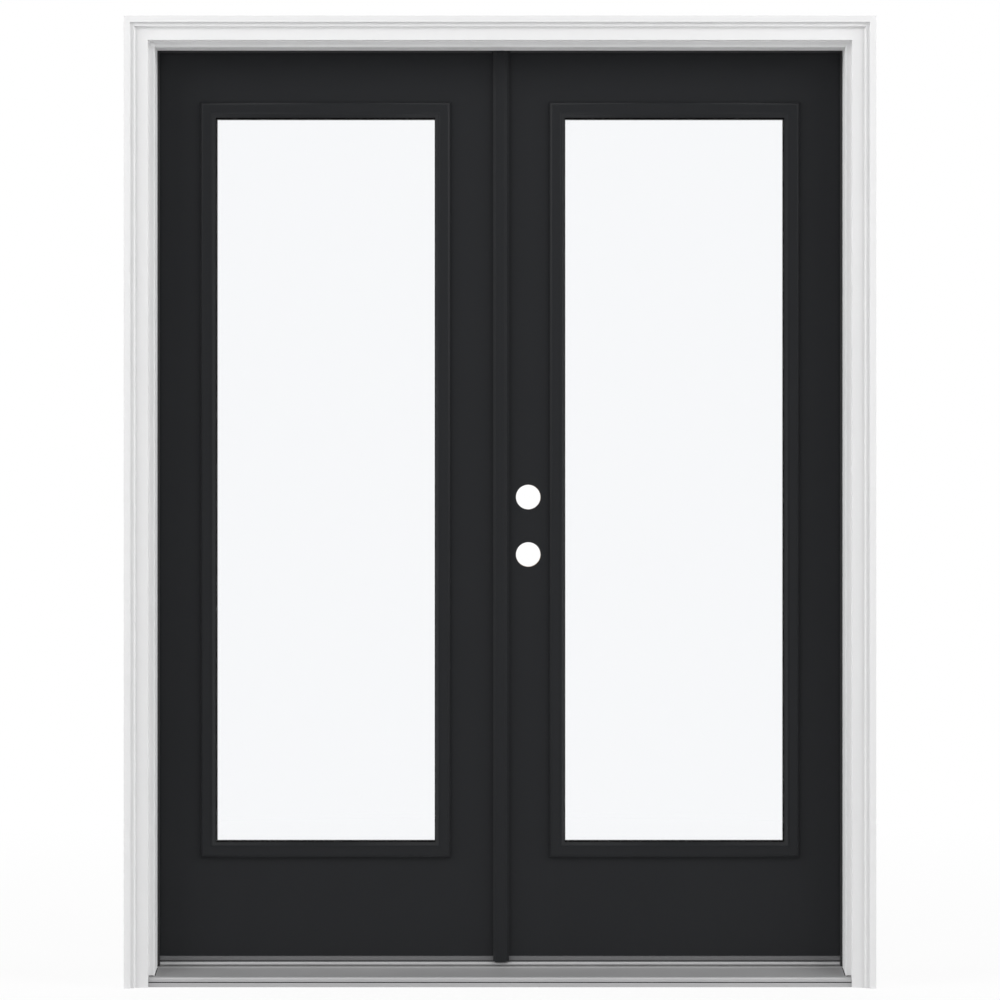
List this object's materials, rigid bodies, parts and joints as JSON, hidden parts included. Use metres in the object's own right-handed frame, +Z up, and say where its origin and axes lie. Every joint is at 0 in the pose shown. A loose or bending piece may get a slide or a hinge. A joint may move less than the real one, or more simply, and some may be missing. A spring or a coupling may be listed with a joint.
{
  "type": "french doors",
  "caption": "Prehung inswing glass door leaves in a rabbeted frame with moulded casing, sloped sill, hinges, astragal, weatherstrip and edge bolts, bored for a lock and a deadbolt.",
  "frame": {"origin": "under the middle of the sill, in the plane of the jambs' outside edges", "axes": "+X to the right as seen from outside, +Y into the room, +Z up"},
  "size_m": [1.6256, 0.1595, 2.1019],
  "materials": {
    "white_paint": "smooth white paint, satin",
    "charcoal_finish": "smooth near-black factory finish, satin",
    "grey_vinyl": "grey vinyl",
    "black_seal": "black foam-filled seal",
    "timber": "laminated timber, bare",
    "foam": "rigid insulating foam",
    "glass": "clear float glass",
    "mill_aluminium": "mill finish",
    "composite": "wood-plastic composite",
    "satin_steel": "satin plated steel"
  },
  "bodies": {
    "frame": {"left_jamb": "white_paint", "right_jamb": "white_paint", "head_jamb": "white_paint", "left_casing": "white_paint", "right_casing": "white_paint", "head_casing": "white_paint", "left_weatherstrip": "black_seal", "right_weatherstrip": "black_seal", "head_weatherstrip": "black_seal", "sill_tread": "mill_aluminium", "sill_substrate": "composite", "sill_cap": "mill_aluminium", "bolt_strikes": "satin_steel", "left_frame_hinge_bottom": "satin_steel", "left_frame_hinge_middle": "satin_steel", "left_frame_hinge_top": "satin_steel", "right_frame_hinge_bottom": "satin_steel", "right_frame_hinge_middle": "satin_steel", "right_frame_hinge_top": "satin_steel", "hinge_pins": "satin_steel", "frame_hinge_screws": "satin_steel"},
    "passive_leaf": {"passive_exterior_skin": "charcoal_finish", "passive_interior_skin": "charcoal_finish", "passive_hinge_stile": "timber", "passive_lock_stile": "timber", "passive_top_rail": "timber", "passive_bottom_rail": "timber", "passive_core": "foam", "passive_exterior_lite_frame": "charcoal_finish", "passive_interior_lite_frame": "charcoal_finish", "passive_outer_pane": "glass", "passive_inner_pane": "glass", "passive_glass_spacer": "mill_aluminium", "passive_sweep": "grey_vinyl", "passive_hinge_bottom": "satin_steel", "passive_hinge_middle": "satin_steel", "passive_hinge_top": "satin_steel", "passive_hinge_screws": "satin_steel", "astragal": "charcoal_finish", "astragal_seal": "black_seal", "bolt_plates": "satin_steel"},
    "top_bolt": {"top_bolt": "satin_steel"},
    "bottom_bolt": {"bottom_bolt": "satin_steel"},
    "active_leaf": {"active_exterior_skin": "charcoal_finish", "active_interior_skin": "charcoal_finish", "active_hinge_stile": "timber", "active_lock_stile": "timber", "active_top_rail": "timber", "active_bottom_rail": "timber", "active_core": "foam", "active_exterior_lite_frame": "charcoal_finish", "active_interior_lite_frame": "charcoal_finish", "active_outer_pane": "glass", "active_inner_pane": "glass", "active_glass_spacer": "mill_aluminium", "active_sweep": "grey_vinyl", "active_hinge_bottom": "satin_steel", "active_hinge_middle": "satin_steel", "active_hinge_top": "satin_steel", "active_hinge_screws": "satin_steel"}
  },
  "joints": [
    {"name": "passive_swing", "type": "hinge", "parent": "frame", "child": "passive_leaf", "pos_m": [-0.76041, 0.1221, 1.05], "axis": [0, 0, 1], "range_deg": [0, 170]},
    {"name": "active_swing", "type": "hinge", "parent": "frame", "child": "active_leaf", "pos_m": [0.76041, 0.1221, 1.05], "axis": [0, 0, -1], "range_deg": [0, 170]},
    {"name": "top_bolt_slide", "type": "slide", "parent": "passive_leaf", "child": "top_bolt", "axis": [0, 0, 1], "range_m": [0, 0.02]},
    {"name": "bottom_bolt_slide", "type": "slide", "parent": "passive_leaf", "child": "bottom_bolt", "axis": [0, 0, -1], "range_m": [0, 0.02]}
  ]
}
